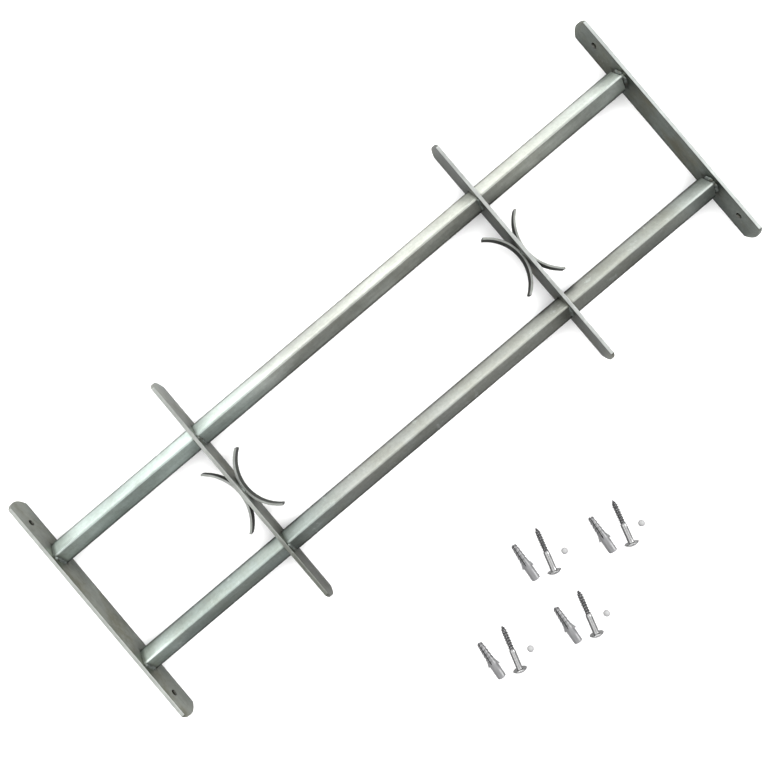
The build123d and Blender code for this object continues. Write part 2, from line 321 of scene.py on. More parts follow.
def zinc(name, tints, lines, clouds, stain, bloom, wear, edge, across, grazing=1.0, fresh=None,
         front=None, tarnish=None, holes=None, joints=None, collars=()):
    """Drawn, zinc-plated steel: tints that drift along X, under drawn lines and soft clouds.

    across is a list of (z, z, share, share) that grades the colour from the back to the front: painted
    light and shade on the tubes, and on the flats a darkening towards the back edge. fresh is (x, x, share,
    share) of painted light at one end of a tube, where a flat shades it.
    front is (height, colour) of a narrow front edge painted as a highlight, with a painted shadow line
    behind it; tarnish is (start, end, share) of the dulling along Y, and holes is (y, z, radius, inner
    face, wall face) of a pair of screw holes whose walls are painted with shade.
    joints is (y, near, far, share, unshaded x, shaded x) of the grime and painted shade around a pair of
    square tubes on edge, and collars are the places along X where painted shade darkens a tube beside a
    flat.
    """
    material, tree, shader, coords = new_material(name)
    places = split(tree, coords)
    wander = remap(tree, noise_of(tree, coords, *WANDER_NOISE), *MIDDLE, -WANDER, WANDER)
    drift = math_of(tree, "ADD", remap(tree, places["X"], 0.0, DRIFT_LENGTH, 0.0, 1.0), wander)
    color = ramp(tree, drift, tints)
    # Painted light: a paler tube end beside the left plate, where the plate shades it.
    if fresh:
        color = mix_color(tree, remap(tree, places["X"], *fresh), color, PAINTED_END_LIGHT_COLOR)
    blotches = noise_of(tree, coords, *BLOTCH_NOISE)
    color = mix_color(tree, remap(tree, blotches, *BLOTCH_RANGE, 0.0, stain), color, STAIN_COLOR)
    # A painted shadow in a narrow line behind the front edge, and a painted highlight on the edge itself.
    if front:
        height, tint = front
        color = graded(tree, color, places["Z"], height - FRONT_PAINTED_SHADOW, height, 1.0, FRONT_SHADE)
        at_front = remap(tree, places["Z"], height, height + FRONT_BLEND, 0.0, 1.0)
        color = mix_color(tree, at_front, color, tint)
    if tarnish:
        start, end, share = tarnish
        color = mix_color(tree, remap(tree, places["Y"], start, end, 0.0, share), color, TARNISH_AND_SHADE_COLOR)
    # Grime and painted shade on a flat's faces close around the tubes.
    if joints:
        spread, near, far, share, unshaded_x, shaded_x = joints
        over = math_of(tree, "SUBTRACT", math_of(tree, "ABSOLUTE", places["Y"]), spread)
        offsets = [math_of(tree, "ABSOLUTE", offset) for offset in (over, places["Z"])]
        around = math_of(tree, "ADD", *offsets)
        close = remap(tree, around, near, far, 1.0, 0.0)
        depth = remap(tree, places["X"], unshaded_x, shaded_x, 0.0, share)
        color = mix_color(tree, math_of(tree, "MULTIPLY", close, depth), color, TARNISH_AND_SHADE_COLOR)
    # Painted shade on a tube beside a flat.
    for collar in collars:
        beside = math_of(tree, "ABSOLUTE", math_of(tree, "SUBTRACT", places["X"], collar))
        color = mix_color(tree, remap(tree, beside, *COLLAR_PAINTED_SHADE), color, TARNISH_AND_SHADE_COLOR)
    # Painted light and shade graded by height across the tubes; on the flats, darker towards the back edge.
    for rise in across:
        color = graded(tree, color, places["Z"], *rise)

    soft = noise_of(tree, coords, clouds, *CLOUD_DETAIL)
    color = graded(tree, color, soft, *MIDDLE, *CLOUD_SHADES)
    grain = noise_of(tree, coords, lines, *LINE_DETAIL)
    color = graded(tree, color, grain, *LINE_SHADES)
    color = graded(tree, color, noise_of(tree, coords, *MOTTLE_NOISE), *MIDDLE, *MOTTLE_SHADES)
    bloomed = remap(tree, noise_of(tree, coords, *BLOOM_NOISE), *BLOOM_RANGE, 0.0, bloom)
    color = mix_color(tree, bloomed, color, BLOOM_COLOR)
    inputs = {"Vector": coords, "Scale": PITS_PER_M}
    specks = add_node(tree, "ShaderNodeTexVoronoi", inputs).outputs["Distance"]
    color = mix_color(tree, remap(tree, specks, *PIT_SHARES), color, PIT_COLOR)

    # Edge wear together with painted light and shade on the edges, in one colour.
    worn_and_shaded = math_of(tree, "MULTIPLY", edge_share(tree, edge), remap(tree, grain, *WEAR_AND_SHADING_SHARES))
    color = mix_color(tree, worn_and_shaded, color, wear)
    # Painted shade on the screw holes' walls, darker deeper in.
    if holes:
        spread, forward, radius, unshaded_side, shaded_side = holes
        over = math_of(tree, "SUBTRACT", math_of(tree, "ABSOLUTE", places["Y"]), spread)
        ahead = math_of(tree, "SUBTRACT", places["Z"], forward)
        away = distance_of(tree, over, ahead)
        inside = remap(tree, away, radius + HOLE_EDGE[0], radius + HOLE_EDGE[1], 1.0, 0.0)
        depth = remap(tree, places["X"], unshaded_side, shaded_side, 0.0, 1.0)
        color = mix_color(tree, inside, color, ramp(tree, depth, HOLE_SHADE_TINTS))
    tree.links.new(color, shader.inputs["Base Color"])

    cloudy = remap(tree, soft, *MIDDLE, *CLOUD_ROUGHNESS)
    rough = math_of(tree, "ADD", cloudy, remap(tree, grain, *MIDDLE, *LINE_ROUGHNESS))
    rough = math_of(tree, "ADD", rough, math_of(tree, "MULTIPLY", bloomed, BLOOM_ROUGHNESS))
    tree.links.new(rough, shader.inputs["Roughness"])
    shader.inputs["Metallic"].default_value = 1.0
    shader.inputs["Specular Tint"].default_value = (grazing, grazing, grazing, 1.0)

    peel = noise_of(tree, coords, *PEEL_NOISE)
    set_bump(tree, shader, ((peel, PEEL_DEPTH), (grain, LINE_DEPTH), (specks, PIT_DEPTH)))
    return material


def weld_zinc():
    """Plating over weld beads: duller, with burnt tints in blotches."""
    material, tree, shader, coords = new_material("weld_zinc_plate")
    mottled = noise_of(tree, coords, *WELD_NOISE)
    color = ramp(tree, mottled, WELD_TINTS)
    burnt = noise_of(tree, coords, *WELD_BURNT_NOISE)
    color = mix_color(tree, remap(tree, burnt, *WELD_BURNT_SHARES), color, WELD_BURNT)
    tree.links.new(color, shader.inputs["Base Color"])
    tree.links.new(remap(tree, mottled, *MIDDLE, *WELD_ROUGHNESS), shader.inputs["Roughness"])
    shader.inputs["Metallic"].default_value = 1.0
    fine = noise_of(tree, coords, *WELD_FINE_NOISE)
    set_bump(tree, shader, ((mottled, WELD_DEPTHS[0]), (fine, WELD_DEPTHS[1])))
    return material


def screw_steel():
    """Bright plated screw: turned rings, painted shade in the thread's roots, small scuffs and painted
    highlights on its edges.
    """
    material, tree, shader, coords = new_material("screw_steel_plate")
    rings = noise_of(tree, coords, *SCREW_RING_NOISE)
    color = ramp(tree, rings, SCREW_TINTS)
    places = split(tree, coords)
    across = distance_of(tree, places["X"], places["Y"])
    # Painted shade in the roots of the thread.
    near, far, share = SCREW_ROOT_SHADE_REACH
    in_root = remap(tree, across, ROOT_RADIUS + near, ROOT_RADIUS + far, share, 0.0)
    threaded = remap(tree, places["Z"], PLAIN_LENGTH, PLAIN_LENGTH + THREAD_PITCH, 0.0, 1.0)
    color = mix_color(tree, math_of(tree, "MULTIPLY", in_root, threaded), color, SCREW_ROOT_SHADE)
    scuffs = noise_of(tree, coords, *SCREW_SCUFF_NOISE)
    color = mix_color(tree, remap(tree, scuffs, *SCREW_SCUFF_SHARES), color, SCREW_SCUFF)
    # Painted highlight on the edges and thread crests.
    color = mix_color(tree, edge_share(tree, SCREW_EDGE_RADIUS), color, SCREW_EDGE_HIGHLIGHT)
    tree.links.new(color, shader.inputs["Base Color"])
    tree.links.new(remap(tree, scuffs, *MIDDLE, *SCREW_ROUGHNESS), shader.inputs["Roughness"])
    shader.inputs["Metallic"].default_value = 1.0
    set_bump(tree, shader, ((rings, SCREW_DEPTHS[0]), (scuffs, SCREW_DEPTHS[1])))
    return material


def plug_nylon():
    """Moulded grey nylon: fine texture, a slight sheen, painted shade in its bore and behind its teeth, and
    painted highlights on its edges.
    """
    material, tree, shader, coords = new_material("plug_nylon_moulded")
    flow = noise_of(tree, coords, *PLUG_FLOW_NOISE)
    color = ramp(tree, flow, PLUG_TINTS)
    places = split(tree, coords)
    across = distance_of(tree, places["X"], places["Y"])
    # Painted shade inside the bore.
    inside = remap(tree, across, BORE_RADIUS, BORE_RADIUS + PLUG_BORE_EDGE, PLUG_RECESS_SHADE_SHARE, 0.0)
    color = mix_color(tree, inside, color, PLUG_RECESS_SHADE)
    # Painted shade where the surface dips below the plug's outline, behind the teeth.
    skin = remap(tree, places["Z"], 0.0, SLEEVE_FROM, PLUG_TIP_RADIUS, PLUG_RADIUS)
    sunk = math_of(tree, "SUBTRACT", skin, across)
    groove = remap(tree, sunk, *PLUG_GROOVES, 0.0, PLUG_RECESS_SHADE_SHARE)
    color = mix_color(tree, groove, color, PLUG_RECESS_SHADE)
    # Painted highlight on the edges.
    color = mix_color(tree, edge_share(tree, PLUG_EDGE_RADIUS), color, PLUG_EDGE_HIGHLIGHT)
    tree.links.new(color, shader.inputs["Base Color"])
    spark = noise_of(tree, coords, *PLUG_SPARK_NOISE)
    tree.links.new(remap(tree, spark, *MIDDLE, *PLUG_ROUGHNESS), shader.inputs["Roughness"])
    shader.inputs["Specular IOR Level"].default_value = 1.0
    set_bump(tree, shader, ((flow, PLUG_DEPTHS[0]), (spark, PLUG_DEPTHS[1])))
    return material


def ball_steel():
    """Pale satin balls with faint scratches."""
    material, tree, shader, coords = new_material("ball_steel_satin")
    haze = noise_of(tree, coords, *BALL_HAZE_NOISE)
    color = ramp(tree, haze, BALL_TINTS)
    scratch = noise_of(tree, coords, *BALL_SCRATCH_NOISE)
    color = mix_color(tree, remap(tree, scratch, *BALL_SCRATCH_SHARES), color, BALL_SCRATCH)
    tree.links.new(color, shader.inputs["Base Color"])
    tree.links.new(remap(tree, haze, *MIDDLE, *BALL_ROUGHNESS), shader.inputs["Roughness"])
    shader.inputs["Metallic"].default_value = BALL_METALLIC
    set_bump(tree, shader, ((haze, BALL_DEPTHS[0]), (scratch, BALL_DEPTHS[1])))
    return material


def floor_paint():
    """Pale matt floor with a faint mottle."""
    material, tree, shader, coords = new_material("floor_paint")
    seen = add_node(tree, "ShaderNodeLightPath").outputs["Is Camera Ray"]
    color = mix_color(tree, seen, FLOOR_COLOR, FLOOR_SEEN)
    mottle = noise_of(tree, coords, *FLOOR_NOISE)
    color = graded(tree, color, mottle, *MIDDLE, *FLOOR_SHADES)
    tree.links.new(color, shader.inputs["Base Color"])
    shader.inputs["Roughness"].default_value = FLOOR_ROUGHNESS
    shader.inputs["Specular IOR Level"].default_value = 0.0
    return material


# Tints along the bars; the last stop is painted light that brightens the tubes' right end beside the right
# plate's shade.
TUBE_TINTS = (
    (0.00, (0.350, 0.410, 0.383)),
    (0.25, (0.355, 0.405, 0.380)),
    (0.40, (0.385, 0.402, 0.376)),
    (0.75, (0.395, 0.408, 0.368)),
    (0.92, (0.345, 0.365, 0.335)),
    (0.99, (0.460, 0.500, 0.470)),
)
UPPER_PAINTED_LIGHT = 1.22          # painted light and shade: the same plating drawn brighter on the upper bar and darker on the lower one
LOWER_PAINTED_SHADE = 0.56
# Painted shade: the bows drawn darker than the flats.
BOW_PAINTED_SHADE = 0.5
# Tints along the flats, darker at the right crosspiece and right plate: painted shade, as their seen faces
# turn away from the lamp.
FLAT_TINTS = (
    (0.00, (0.285, 0.300, 0.270)),
    (0.30, (0.270, 0.280, 0.262)),
    (0.55, (0.250, 0.262, 0.243)),
    (0.70, (0.142, 0.150, 0.138)),
    (0.80, (0.142, 0.150, 0.138)),
    (1.00, (0.180, 0.202, 0.182)),
)
STAIN_COLOR = (0.140, 0.134, 0.090)
# Tarnish along Y on the left crosspiece; also the colour of the grime and painted shade around the joints
# and beside the flats.
TARNISH_AND_SHADE_COLOR = (0.040, 0.042, 0.030)
BLOOM_COLOR = (0.50, 0.54, 0.52)
PIT_COLOR = (0.12, 0.12, 0.11)
# Painted shade on the screw holes' walls, lighter by the face and darker deeper in.
HOLE_SHADE_TINTS = ((0.15, (0.10, 0.10, 0.09)), (0.55, (0.008, 0.009, 0.006)))
HOLE_EDGE = (0.02 * MM, 0.12 * MM)
# Painted light at the tubes' left end, beside the plate's shade: from x to x, share to share.
PAINTED_END_LIGHT_COLOR = (0.70, 0.78, 0.74)
PAINTED_END_LIGHT = (4.0 * MM, 60.0 * MM, 0.50, 0.0)
DRIFT_LENGTH = 0.81         # how far along X the tints go
WANDER = 0.05               # how far the tints stray, as a share of that length
FRONT_PAINTED_SHADOW = 1.2 * MM     # a narrow painted shadow line behind a flat's front edge
FRONT_SHADE = 0.55
FRONT_BLEND = 0.4 * MM

# Noises: features per metre along X, Y and Z, then detail and roughness.
WANDER_NOISE = ((9.0, 9.0, 9.0),)
BLOTCH_NOISE = ((26.0, 21.0, 30.0), 5.0, 0.6)
MOTTLE_NOISE = ((300.0, 230.0, 300.0), 3.0, 0.6)
BLOOM_NOISE = ((75.0, 75.0, 75.0), 4.0, 0.7)
PEEL_NOISE = ((260.0, 260.0, 260.0),)
CLOUD_DETAIL = (4.0, 0.62)
LINE_DETAIL = (3.0, 0.65)
PITS_PER_M = 420.0

# Where the noises start and end to count, and what they do there.
MIDDLE = (0.3, 0.7)         # nearly all of a noise lies between these
BLOTCH_RANGE = (0.46, 0.68)
BLOOM_RANGE = (0.60, 0.76)
EDGE_RANGE = (0.80, 0.985)
CLOUD_SHADES = (0.78, 1.20)
MOTTLE_SHADES = (0.92, 1.08)
LINE_SHADES = (0.28, 0.72, 0.90, 1.09)
PIT_SHARES = (0.05, 0.13, 0.55, 0.0)
WEAR_AND_SHADING_SHARES = (0.35, 0.65, 0.45, 1.0)
CLOUD_ROUGHNESS = (0.30, 0.41)
LINE_ROUGHNESS = (-0.04, 0.05)
BLOOM_ROUGHNESS = 0.18
PEEL_DEPTH = 0.030 * MM
LINE_DEPTH = 0.012 * MM
PIT_DEPTH = 0.015 * MM

WELD_TINTS = ((0.30, (0.06, 0.065, 0.06)), (0.5, (0.12, 0.135, 0.125)), (0.70, (0.20, 0.225, 0.21)))
WELD_BURNT = (0.05, 0.045, 0.032)
SCREW_TINTS = ((0.3, (0.19, 0.19, 0.19)), (0.7, (0.33, 0.33, 0.33)))
# Painted shade in the screw's thread roots.
SCREW_ROOT_SHADE = (0.03, 0.03, 0.032)
SCREW_SCUFF = (0.28, 0.28, 0.28)
# Painted highlight on the screw's edges.
SCREW_EDGE_HIGHLIGHT = (0.72, 0.73, 0.73)
PLUG_TINTS = ((0.3, (0.065, 0.065, 0.067)), (0.7, (0.120, 0.120, 0.123)))
# Painted shade in the plug's bore and grooves.
PLUG_RECESS_SHADE = (0.012, 0.012, 0.013)
# Painted highlight on the plug's edges.
PLUG_EDGE_HIGHLIGHT = (0.42, 0.42, 0.425)
BALL_TINTS = ((0.3, (0.28, 0.28, 0.28)), (0.7, (0.34, 0.34, 0.34)))
BALL_SCRATCH = (0.21, 0.21, 0.21)

WELD_NOISE = ((420.0, 420.0, 420.0), 4.0, 0.65)
WELD_BURNT_NOISE = ((150.0, 150.0, 150.0), 2.0)
WELD_BURNT_SHARES = (0.52, 0.66, 0.0, 0.7)
WELD_FINE_NOISE = ((1500.0, 1500.0, 1500.0), 3.0)
WELD_ROUGHNESS = (0.36, 0.58)
WELD_DEPTHS = (0.06 * MM, 0.02 * MM)
SCREW_RING_NOISE = ((60.0, 60.0, 2600.0), 2.0)
SCREW_SCUFF_NOISE = ((700.0, 700.0, 500.0), 4.0, 0.7)
SCREW_SCUFF_SHARES = (0.58, 0.72, 0.0, 0.5)
SCREW_ROOT_SHADE_REACH = (0.1 * MM, 0.6 * MM, 0.92)
SCREW_EDGE_RADIUS = 0.35 * MM
SCREW_ROUGHNESS = (0.14, 0.28)
SCREW_DEPTHS = (0.010 * MM, 0.012 * MM)
PLUG_FLOW_NOISE = ((220.0, 220.0, 70.0), 3.0)
PLUG_SPARK_NOISE = ((2600.0, 2600.0, 2600.0), 2.0)
PLUG_BORE_EDGE = 0.25 * MM
PLUG_GROOVES = (0.25 * MM, 0.75 * MM)
PLUG_RECESS_SHADE_SHARE = 0.95
PLUG_EDGE_RADIUS = 0.3 * MM
PLUG_ROUGHNESS = (0.30, 0.44)
PLUG_DEPTHS = (0.03 * MM, 0.012 * MM)
BALL_HAZE_NOISE = ((520.0, 520.0, 520.0), 3.0)
BALL_SCRATCH_NOISE = ((250.0, 3800.0, 900.0), 2.0)
BALL_SCRATCH_SHARES = (0.62, 0.70, 0.0, 0.4)
BALL_METALLIC = 0.4
BALL_ROUGHNESS = (0.68, 0.80)
BALL_DEPTHS = (0.02 * MM, 0.01 * MM)
FLOOR_NOISE = ((3.0, 3.0, 3.0), 3.0)
FLOOR_SHADES = (0.99, 1.0)
FLOOR_ROUGHNESS = 0.9
# Painted light and shade across the tubes, as (z, z, share, share): darker at their side corners, brighter
# towards the front ridge, and darker on the upper bar's ridge.
SIDE_PAINTED_SHADE = (0.5 * MM, 3.2 * MM, 0.08, 1.0)
RIDGE_PAINTED_LIGHT = (2.0 * MM, 13.0 * MM, 0.82, 1.12)
UPPER_RIDGE_PAINTED_SHADE = (12.3 * MM, 13.2 * MM, 1.0, 0.55)
# Painted shade on a tube beside a flat, as (near, far, share, share).
COLLAR_PAINTED_SHADE = (2.2 * MM, 5.5 * MM, 0.6, 0.0)
# The flats darker towards their back edges, as (z, z, share, share).
REAR_DARKENING = (-17.5 * MM, -14.5 * MM, 0.15, 1.0)


def shaded(tints, share):
    """The same tints, all brighter or darker by a share."""
    return tuple((place, tuple(share * c for c in color)) for place, color in tints)


ALONG_X = {"lines": (14.0, 2400.0, 2400.0), "clouds": (7.0, 38.0, 38.0)}
ALONG_Y = {"lines": (2400.0, 14.0, 2400.0), "clouds": (60.0, 22.0, 60.0)}
ROUND_Z = {"lines": (120.0, 120.0, 2400.0), "clouds": (60.0, 60.0, 60.0)}


# ---------------------------------------------------------------------- meshes


def new_piece(name, verts, faces, material, body, smooth_angle):
    """A mesh object that rides on a body, shaded smooth up to an angle."""
    mesh = bpy.data.meshes.new(name)
    mesh.from_pydata([tuple(v) for v in verts], [], faces)
    mesh.validate()
    mesh.update()
    mesh.materials.append(material)
    mesh.shade_smooth()
    mesh.set_sharp_from_angle(angle=smooth_angle)
    return place_piece(name, mesh, body)


def place_piece(name, mesh, body, matrix=Matrix.Identity(4)):
    """An object of the mesh in its place, which wears a slot's material and rides on a body."""
    piece = bpy.data.objects.new(name, mesh)
    bpy.context.scene.collection.objects.link(piece)
    piece.matrix_world = matrix
    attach(piece, body)
    return piece


def loft(rings, first=0):
    """Quads between closed rings of equal length, whose vertices are numbered from first."""
    count = len(rings[0])
    faces = []
    for ring in range(len(rings) - 1):
        for side in range(count):
            a = first + ring * count + side
            b = first + ring * count + (side + 1) % count
            faces.append((a, b, b + count, a + count))
    return faces


def bead_rings(point, first, second, leg, length, seed):
    """Closed rings of a rippled fillet weld along first x second, drawn in at both ends."""
    run = first.cross(second).normalized()
    steps = max(BEAD_STEPS_MIN, round(length / BEAD_STEP))
    chance = np.random.default_rng(seed)
    phase = chance.uniform(0, 2 * math.pi)
    waver = chance.uniform(0.5, 1.5, 3)
    rings = []
    for step in range(steps + 1):
        share = 2 * step / steps - 1
        end = max(1 - abs(share) ** BEAD_END[0], BEAD_TIP) ** BEAD_END[1]
        at = share * length / 2
        swell = 1 - BEAD_SWELL * (0.5 + 0.5 * math.sin(waver[0] * BEAD_WAVER * share + phase))
        ring = [point + run * at]
        for side in range(BEAD_SIDES + 1):
            angle = math.pi / 2 * side / BEAD_SIDES
            middle = math.sin(2 * angle)
            # Each ripple is a crescent that lags behind in the middle of the bead.
            cycle = (at + RIPPLE_LAG * RIPPLE_PITCH * middle) / RIPPLE_PITCH + phase
            depth = RIPPLE_TOE + (1 - RIPPLE_TOE) * middle
            ripple = RIPPLE_DEPTH * (1 - (cycle % 1.0)) ** 2 * depth
            radius = leg * end * swell * (1 - BEAD_HOLLOW * middle - ripple)
            outwards = first * (radius * math.cos(angle)) + second * (radius * math.sin(angle))
            ring.append(point + run * at + outwards)
        rings.append(ring)
    return rings


def build_beads(name, node, corners, leg, length, material):
    """One piece of several weld beads, standing for a CAD weld group."""
    verts, faces = [], []
    for number, (point, first, second) in enumerate(corners):
        rings = bead_rings(point, first, second, leg, length, BEAD_SEED * number + len(node))
        base = len(verts)
        faces += loft(rings, base)
        count = len(rings[0])
        verts += [v for ring in rings for v in ring]
        faces.append(tuple(range(base + count - 1, base - 1, -1)))
        faces.append(tuple(range(len(verts) - count, len(verts))))
    body = frame["nodes"][node]["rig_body"]
    piece = new_piece(name, verts, faces, material, body, BEAD_SMOOTH)
    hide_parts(node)


def tube_corners(face, along, tubes, facings):
    """Weld corners between a flat's face at x = face and the sides of both tubes that face facings."""
    corners = []
    for tube in tubes:
        low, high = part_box(tube)
        middle = (low + high) / 2
        for facing in facings:
            out = Vector((0, *facing)).normalized()
            point = Vector((face, middle.y, middle.z)) + out * (tube_side(tube) / 2)
            corners.append((point, Vector((along, 0, 0)), out))
    return corners


def tube_side(tube):
    """The side of a square tube on edge, read from its flattest vertices."""
    low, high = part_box(tube)
    middle = (low + high) / 2
    out = Vector((0, 1, 1)).normalized()
    reach = max((v.co - middle).dot(out) for v in frame["nodes"][tube].data.vertices)
    return 2 * reach


def bow_corners(crosspiece, bow):
    """Weld corners between a crosspiece's faces and the front and rear edges of its bows."""
    low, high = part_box(crosspiece)
    bow_low, bow_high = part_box(bow)
    corners = []
    for side, face in ((-1, low.x), (1, high.x)):
        for front in (-1, 1):
            point = Vector((face, (bow_low.y + bow_high.y) / 2, front * bow_high.z))
            corners.append((point, Vector((side, 0, 0)), Vector((0, 0, front))))
    return corners


def hexagon_radius(flats, angle):
    """Distance from a hexagon's centre to its outline."""
    return flats / 2 / math.cos((angle + math.pi / 6) % (math.pi / 3) - math.pi / 6)


def screw_mesh(material):
    """A mushroom-head screw along +Z from under its head, with a helical thread and a hexagon socket."""
    rise = HEAD_HEIGHT - HEAD_RIM
    dome = (HEAD_RADIUS**2 + rise**2) / (2 * rise)
    dome_z = dome - HEAD_HEIGHT
    angles = [2 * math.pi * side / SCREW_SIDES for side in range(SCREW_SIDES)]

    def on_dome(radius):
        """Height of the dome at a radius."""
        return dome_z - math.sqrt(dome**2 - radius**2)

    def circle(radius, z):
        """A round ring."""
        return [Vector((radius * math.cos(a), radius * math.sin(a), z)) for a in angles]

    def hexagon(flats, z=None):
        """A hexagonal ring, which lies on the dome if it has no height of its own."""
        ring = []
        for a in angles:
            radius = hexagon_radius(flats, a)
            height = on_dome(radius) if z is None else z
            ring.append(Vector((radius * math.cos(a), radius * math.sin(a), height)))
        return ring

    socket_floor = SOCKET_DEPTH - HEAD_HEIGHT
    mouth_z = on_dome(SOCKET_FLATS / 2) + SOCKET_CHAMFER
    foot_in, foot_up = SOCKET_FOOT
    rings = [
        circle(SOCKET_CENTRE, socket_floor + SOCKET_CONE),
        hexagon(SOCKET_FLATS - foot_in, socket_floor + foot_up),
        hexagon(SOCKET_FLATS, socket_floor),
        hexagon(SOCKET_FLATS, mouth_z),
        hexagon(SOCKET_FLATS + 2 * SOCKET_CHAMFER),
    ]
    for share in DOME_SHARES:
        rings.append(circle(HEAD_RADIUS * share, on_dome(HEAD_RADIUS * share)))
    rings.append(circle(HEAD_RADIUS, -HEAD_CHAMFER))
    rings.append(circle(HEAD_RADIUS - HEAD_CHAMFER, 0))
    for turn in range(NECK_STEPS + 1):
        swing = math.pi / 2 * turn / NECK_STEPS
        radius = SHANK_RADIUS + NECK_ROUND * (1 - math.sin(swing))
        rings.append(circle(radius, NECK_ROUND * (1 - math.cos(swing))))
    for share in PLAIN_SHARES:
        rings.append(circle(SHANK_RADIUS, PLAIN_LENGTH * share))
    rings.append(circle(SHANK_RADIUS, PLAIN_LENGTH - THREAD_PITCH / 2))
    steps = round((SCREW_LENGTH - PLAIN_LENGTH) / THREAD_STEP)
    for step in range(steps + 1):
        z = PLAIN_LENGTH + step * THREAD_STEP
        taper = max(0.0, min(1.0, (SCREW_LENGTH - z) / POINT_LENGTH)) ** POINT_POWER
        start = min(1.0, (z - PLAIN_LENGTH) / THREAD_PITCH)
        ring = []
        for a in angles:
            phase = (z / THREAD_PITCH - a / (2 * math.pi)) % 1.0
            crest = max(0.0, 1 - abs(phase - 0.5) / THREAD_FLANK)
            body = SHANK_RADIUS + (ROOT_RADIUS - SHANK_RADIUS) * start
            radius = body + (SHANK_RADIUS - body) * crest
            radius = max(radius * taper, POINT_RADIUS)
            ring.append(Vector((radius * math.cos(a), radius * math.sin(a), z)))
        rings.append(ring)
    verts = [v for ring in rings for v in ring]
    faces = loft(rings)
    count = len(angles)
    faces = [tuple(reversed(f)) for f in faces]
    faces.append(tuple(range(count)))
    faces.append(tuple(range(len(verts) - 1, len(verts) - count - 1, -1)))
    mesh = bpy.data.meshes.new("wall_screw")
    mesh.from_pydata([tuple(v) for v in verts], [], faces)
    mesh.materials.append(material)
    mesh.validate()
    mesh.shade_smooth()
    mesh.set_sharp_from_angle(angle=SCREW_SMOOTH)
    return mesh


def plug_radius(station):
    """Outer radius of the plug at a distance from its tip, before its teeth are cut."""
    return PLUG_TIP_RADIUS + (PLUG_RADIUS - PLUG_TIP_RADIUS) * min(1.0, station / SLEEVE_FROM)


def plug_stations():
    """(station, outer radius) pairs from the tip to the mouth, with a step down behind each tooth."""
    stations = [
        (0.0, PLUG_TIP_RADIUS - TOOTH_STEP - PLUG_CHAMFER),
        (PLUG_CHAMFER, PLUG_TIP_RADIUS - TOOTH_STEP),
    ]
    for tooth in range(TEETH):
        start = TEETH_FROM + tooth * TOOTH_PITCH
        crest = plug_radius(start)
        stations += [
            (start - TOOTH_EASE, crest - TOOTH_SAG),
            (start, crest - TOOTH_EDGE),
            (start + TOOTH_EDGE, crest - TOOTH_STEP),
            (start + TOOTH_FOOT, crest - TOOTH_STEP),
        ]
    stations += [
        (NECK_AT, plug_radius(WING_FROM) - NECK_DROP),
        (SHOULDER_AT, PLUG_RADIUS - SHOULDER_DROP),
        (SLIT_END - SLIT_ROUND, PLUG_RADIUS - 2 * SLIT_DROP),
        (SLIT_END - SLIT_ROUND / 2, PLUG_RADIUS - SLIT_DROP),
        (SLIT_END, PLUG_RADIUS),
        (SLEEVE_FROM + SLEEVE_LEAD, PLUG_RADIUS),
        (RIM_AT - RIM_SLOPE, PLUG_RADIUS - RIM_STEP),
        (RIM_AT, PLUG_RADIUS),
        (PLUG_LENGTH - PLUG_CHAMFER, PLUG_RADIUS),
        (PLUG_LENGTH, PLUG_RADIUS - PLUG_CHAMFER),
    ]
    return stations


def slit_half(station):
    """Half the width of the slit at a station; its end is rounded."""
    left = (SLIT_END - station) / SLIT_ROUND
    if left <= 0:
        return 0.0
    return SLIT_WIDTH / 2 * math.sqrt(1 - (1 - min(1.0, left)) ** 2)


def bore_radius(station):
    """Radius of the plug's bore at a station; it widens from the slit's end to the mouth."""
    share = max(0.0, (station - SLIT_END) / (PLUG_LENGTH - SLIT_END))
    return BORE_END_RADIUS + (BORE_RADIUS - BORE_END_RADIUS) * share


def plug_half(side):
    """One half of the plug's body, on the side that is +1 or -1 along X, with no walls past its slit."""
    verts, faces = [], []
    half_count = PLUG_SIDES + 1
    stations = plug_stations()
    for station, outer in stations:
        half = slit_half(station)
        bore = bore_radius(station)
        if station == PLUG_LENGTH:
            bore += PLUG_CHAMFER
        for radius, way in ((outer, 1), (bore, -1)):
            reach = math.acos(half / radius)
            for step in range(half_count):
                angle = way * reach * (2 * step / PLUG_SIDES - 1)
                verts.append(Vector((side * radius * math.cos(angle), radius * math.sin(angle), station)))
    count = 2 * half_count
    for ring in range(len(stations) - 1):
        solid = stations[ring][0] >= SLIT_END
        for step in range(count):
            if solid and step in (half_count - 1, count - 1):
                continue
            a = ring * count + step
            b = ring * count + (step + 1) % count
            faces.append((a, b, b + count, a + count))
    for step in range(PLUG_SIDES):
        last = count - 1 - step
        for base in (0, (len(stations) - 1) * count):
            cap = (base + step, base + step + 1, base + last - 1, base + last)
            faces.append(cap if base else tuple(reversed(cap)))
    if side < 0:
        faces = [tuple(reversed(f)) for f in faces]
    return verts, faces


